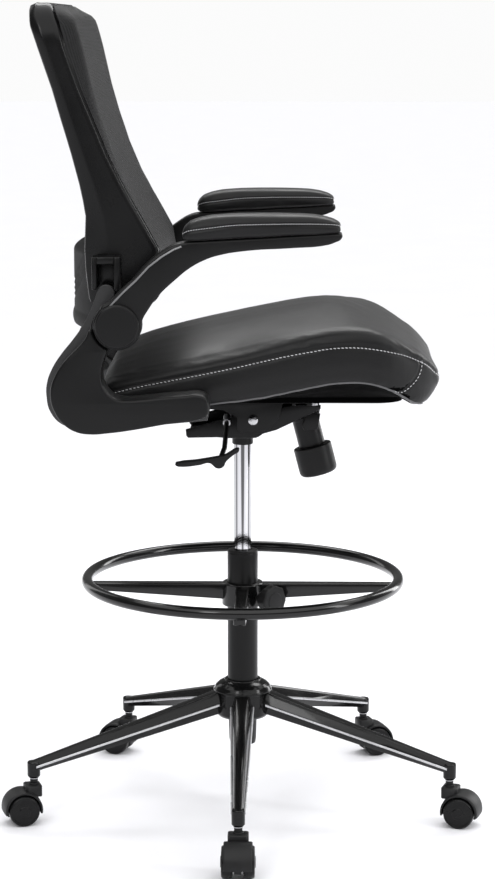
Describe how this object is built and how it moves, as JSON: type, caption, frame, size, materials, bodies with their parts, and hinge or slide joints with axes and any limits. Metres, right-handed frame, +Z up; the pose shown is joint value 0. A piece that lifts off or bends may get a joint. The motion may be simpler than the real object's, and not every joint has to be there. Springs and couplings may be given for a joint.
{
  "type": "drafting chair",
  "caption": "Tall padded drafting chair with a curved mesh back, flip-up padded arms, gas lift, adjustable foot ring and a five-star caster base.",
  "frame": {"origin": "on the floor, under the axis of the column", "axes": "+Z up along the column, +X towards the chair's front, +Y towards the sitter's left"},
  "size_m": [0.7828, 0.7325, 1.308],
  "materials": {
    "base_paint": "gloss black powder coat over pressed steel",
    "column_paint": "satin black paint on the steel column",
    "ring_paint": "gloss black paint on round steel tube",
    "nylon": "fine-grained black nylon moulding",
    "arm_plastic": "satin black moulded nylon",
    "frame_plastic": "semi-gloss black moulded back frame",
    "wheel_plastic": "black nylon caster wheel with a polished face",
    "hood_plastic": "matt black caster hood",
    "chrome": "polished chrome on the gas cylinder and pin head",
    "steel": "zinc-plated steel rods, pins and screws",
    "mech_paint": "semi-gloss black paint on pressed sheet steel",
    "leatherette": "black soft polyurethane leather with white top stitching",
    "plywood": "plywood board with black dust cover",
    "mesh_cloth": "black woven mesh",
    "bush_plastic": "dark acetal guide bush"
  },
  "bodies": {
    "base": {"base_hub": "base_paint", "base_leg_1": "base_paint", "base_leg_2": "base_paint", "base_leg_3": "base_paint", "base_leg_4": "base_paint", "base_leg_5": "base_paint", "leg_sockets": "base_paint", "column_tube": "column_paint", "column_bush": "bush_plastic", "piston_rod": "steel", "rod_bearing": "steel"},
    "caster_1": {"caster_1_hood": "hood_plastic", "caster_1_pins": "steel"},
    "wheel_1a": {"caster_1_wheel_a": "wheel_plastic"},
    "wheel_1b": {"caster_1_wheel_b": "wheel_plastic"},
    "caster_2": {"caster_2_hood": "hood_plastic", "caster_2_pins": "steel"},
    "wheel_2a": {"caster_2_wheel_a": "wheel_plastic"},
    "wheel_2b": {"caster_2_wheel_b": "wheel_plastic"},
    "caster_3": {"caster_3_hood": "hood_plastic", "caster_3_pins": "steel"},
    "wheel_3a": {"caster_3_wheel_a": "wheel_plastic"},
    "wheel_3b": {"caster_3_wheel_b": "wheel_plastic"},
    "caster_4": {"caster_4_hood": "hood_plastic", "caster_4_pins": "steel"},
    "wheel_4a": {"caster_4_wheel_a": "wheel_plastic"},
    "wheel_4b": {"caster_4_wheel_b": "wheel_plastic"},
    "caster_5": {"caster_5_hood": "hood_plastic", "caster_5_pins": "steel"},
    "wheel_5a": {"caster_5_wheel_a": "wheel_plastic"},
    "wheel_5b": {"caster_5_wheel_b": "wheel_plastic"},
    "lift": {"gas_cylinder": "chrome"},
    "valve": {"valve_button": "steel"},
    "foot_ring": {"foot_ring_hoop": "ring_paint", "foot_ring_spider": "ring_paint"},
    "ring_knob": {"foot_ring_knob": "nylon"},
    "mechanism": {"tilt_housing": "mech_paint", "tilt_spring": "steel", "pivot_pin": "chrome"},
    "tension": {"tension_knob": "nylon"},
    "rocker": {"valve_rocker": "steel"},
    "lever": {"lever_rod": "mech_paint", "lever_paddle": "nylon"},
    "seat": {"seat_plate": "mech_paint", "seat_cushion": "leatherette", "seat_board": "plywood", "seat_bolts": "steel", "arm_bracket_right": "arm_plastic", "arm_bracket_left": "arm_plastic", "pivot_caps": "arm_plastic", "pivot_pins": "steel", "back_brackets": "mech_paint", "bracket_bolts": "steel", "back_frame": "frame_plastic", "back_mesh": "mesh_cloth", "lumbar_shell": "frame_plastic"},
    "arm_right": {"flip_arm_right": "arm_plastic", "arm_pad_right": "leatherette"},
    "arm_left": {"flip_arm_left": "arm_plastic", "arm_pad_left": "leatherette"}
  },
  "joints": [
    {"name": "caster_1_swivel", "type": "hinge", "parent": "base", "child": "caster_1", "pos_m": [0, -0.354, 0.07], "axis": [0, 0, 1], "continuous": true},
    {"name": "wheel_1a_roll", "type": "hinge", "parent": "caster_1", "child": "wheel_1a", "pos_m": [0, -0.374, 0.025], "axis": [1, 0, 0], "continuous": true},
    {"name": "wheel_1b_roll", "type": "hinge", "parent": "caster_1", "child": "wheel_1b", "pos_m": [0, -0.374, 0.025], "axis": [1, 0, 0], "continuous": true},
    {"name": "caster_2_swivel", "type": "hinge", "parent": "base", "child": "caster_2", "pos_m": [0.33667, -0.10939, 0.07], "axis": [0, 0, 1], "continuous": true},
    {"name": "wheel_2a_roll", "type": "hinge", "parent": "caster_2", "child": "wheel_2a", "pos_m": [0.3558, -0.11524, 0.025], "axis": [0.2924, 0.9563, 0], "continuous": true},
    {"name": "wheel_2b_roll", "type": "hinge", "parent": "caster_2", "child": "wheel_2b", "pos_m": [0.3558, -0.11524, 0.025], "axis": [0.2924, 0.9563, 0], "continuous": true},
    {"name": "caster_3_swivel", "type": "hinge", "parent": "base", "child": "caster_3", "pos_m": [0.20808, 0.28639, 0.07], "axis": [0, 0, 1], "continuous": true},
    {"name": "wheel_3a_roll", "type": "hinge", "parent": "caster_3", "child": "wheel_3a", "pos_m": [0.2272, 0.29224, 0.025], "axis": [-0.2924, 0.9563, 0], "continuous": true},
    {"name": "wheel_3b_roll", "type": "hinge", "parent": "caster_3", "child": "wheel_3b", "pos_m": [0.2272, 0.29224, 0.025], "axis": [-0.2924, 0.9563, 0], "continuous": true},
    {"name": "caster_4_swivel", "type": "hinge", "parent": "base", "child": "caster_4", "pos_m": [-0.20808, 0.28639, 0.07], "axis": [0, 0, 1], "continuous": true},
    {"name": "wheel_4a_roll", "type": "hinge", "parent": "caster_4", "child": "wheel_4a", "pos_m": [-0.2272, 0.29224, 0.025], "axis": [-0.2924, -0.9563, 0], "continuous": true},
    {"name": "wheel_4b_roll", "type": "hinge", "parent": "caster_4", "child": "wheel_4b", "pos_m": [-0.2272, 0.29224, 0.025], "axis": [-0.2924, -0.9563, 0], "continuous": true},
    {"name": "caster_5_swivel", "type": "hinge", "parent": "base", "child": "caster_5", "pos_m": [-0.33667, -0.10939, 0.07], "axis": [0, 0, 1], "continuous": true},
    {"name": "wheel_5a_roll", "type": "hinge", "parent": "caster_5", "child": "wheel_5a", "pos_m": [-0.3558, -0.11524, 0.025], "axis": [0.2924, -0.9563, 0], "continuous": true},
    {"name": "wheel_5b_roll", "type": "hinge", "parent": "caster_5", "child": "wheel_5b", "pos_m": [-0.3558, -0.11524, 0.025], "axis": [0.2924, -0.9563, 0], "continuous": true},
    {"name": "seat_height", "type": "slide", "parent": "base", "child": "lift", "axis": [0, 0, 1], "range_m": [-0.165, 0.02]},
    {"name": "seat_swivel", "type": "hinge", "parent": "lift", "child": "mechanism", "pos_m": [0, 0, 0.62], "axis": [0, 0, 1], "continuous": true},
    {"name": "valve_press", "type": "slide", "parent": "lift", "child": "valve", "axis": [0, 0, -1], "range_m": [0, 0.0055]},
    {"name": "foot_ring_height", "type": "slide", "parent": "base", "child": "foot_ring", "axis": [0, 0, 1], "range_m": [-0.11, 0.045]},
    {"name": "ring_clamp_turn", "type": "hinge", "parent": "foot_ring", "child": "ring_knob", "pos_m": [0, 0, 0.355], "axis": [0.7071, -0.7071, 0], "range_deg": [-360, 0]},
    {"name": "seat_tilt", "type": "hinge", "parent": "mechanism", "child": "seat", "pos_m": [0.018, 0, 0.656], "axis": [0, -1, 0], "range_deg": [0, 15]},
    {"name": "tension_turn", "type": "hinge", "parent": "mechanism", "child": "tension", "pos_m": [0.113, 0, 0.604], "axis": [0.2504, 0, -0.9681], "continuous": true},
    {"name": "lever_lift", "type": "hinge", "parent": "mechanism", "child": "rocker", "pos_m": [-0.024, -0.058, 0.6545], "axis": [-1, 0, 0], "range_deg": [0, 5], "stiffness_Nm_per_rad": 6},
    {"name": "lever_pull", "type": "slide", "parent": "rocker", "child": "lever", "axis": [0, -0.9898, -0.1421], "range_m": [0, 0.012]},
    {"name": "arm_right_flip", "type": "hinge", "parent": "seat", "child": "arm_right", "pos_m": [-0.181, -0.308, 0.835], "axis": [0, -1, 0], "range_deg": [0, 85]},
    {"name": "arm_left_flip", "type": "hinge", "parent": "seat", "child": "arm_left", "pos_m": [-0.181, 0.308, 0.835], "axis": [0, -1, 0], "range_deg": [0, 85]}
  ],
  "couplings": [
    {"joint": "valve_press", "follows": "lever_lift", "m_per_rad": 0.058}
  ]
}
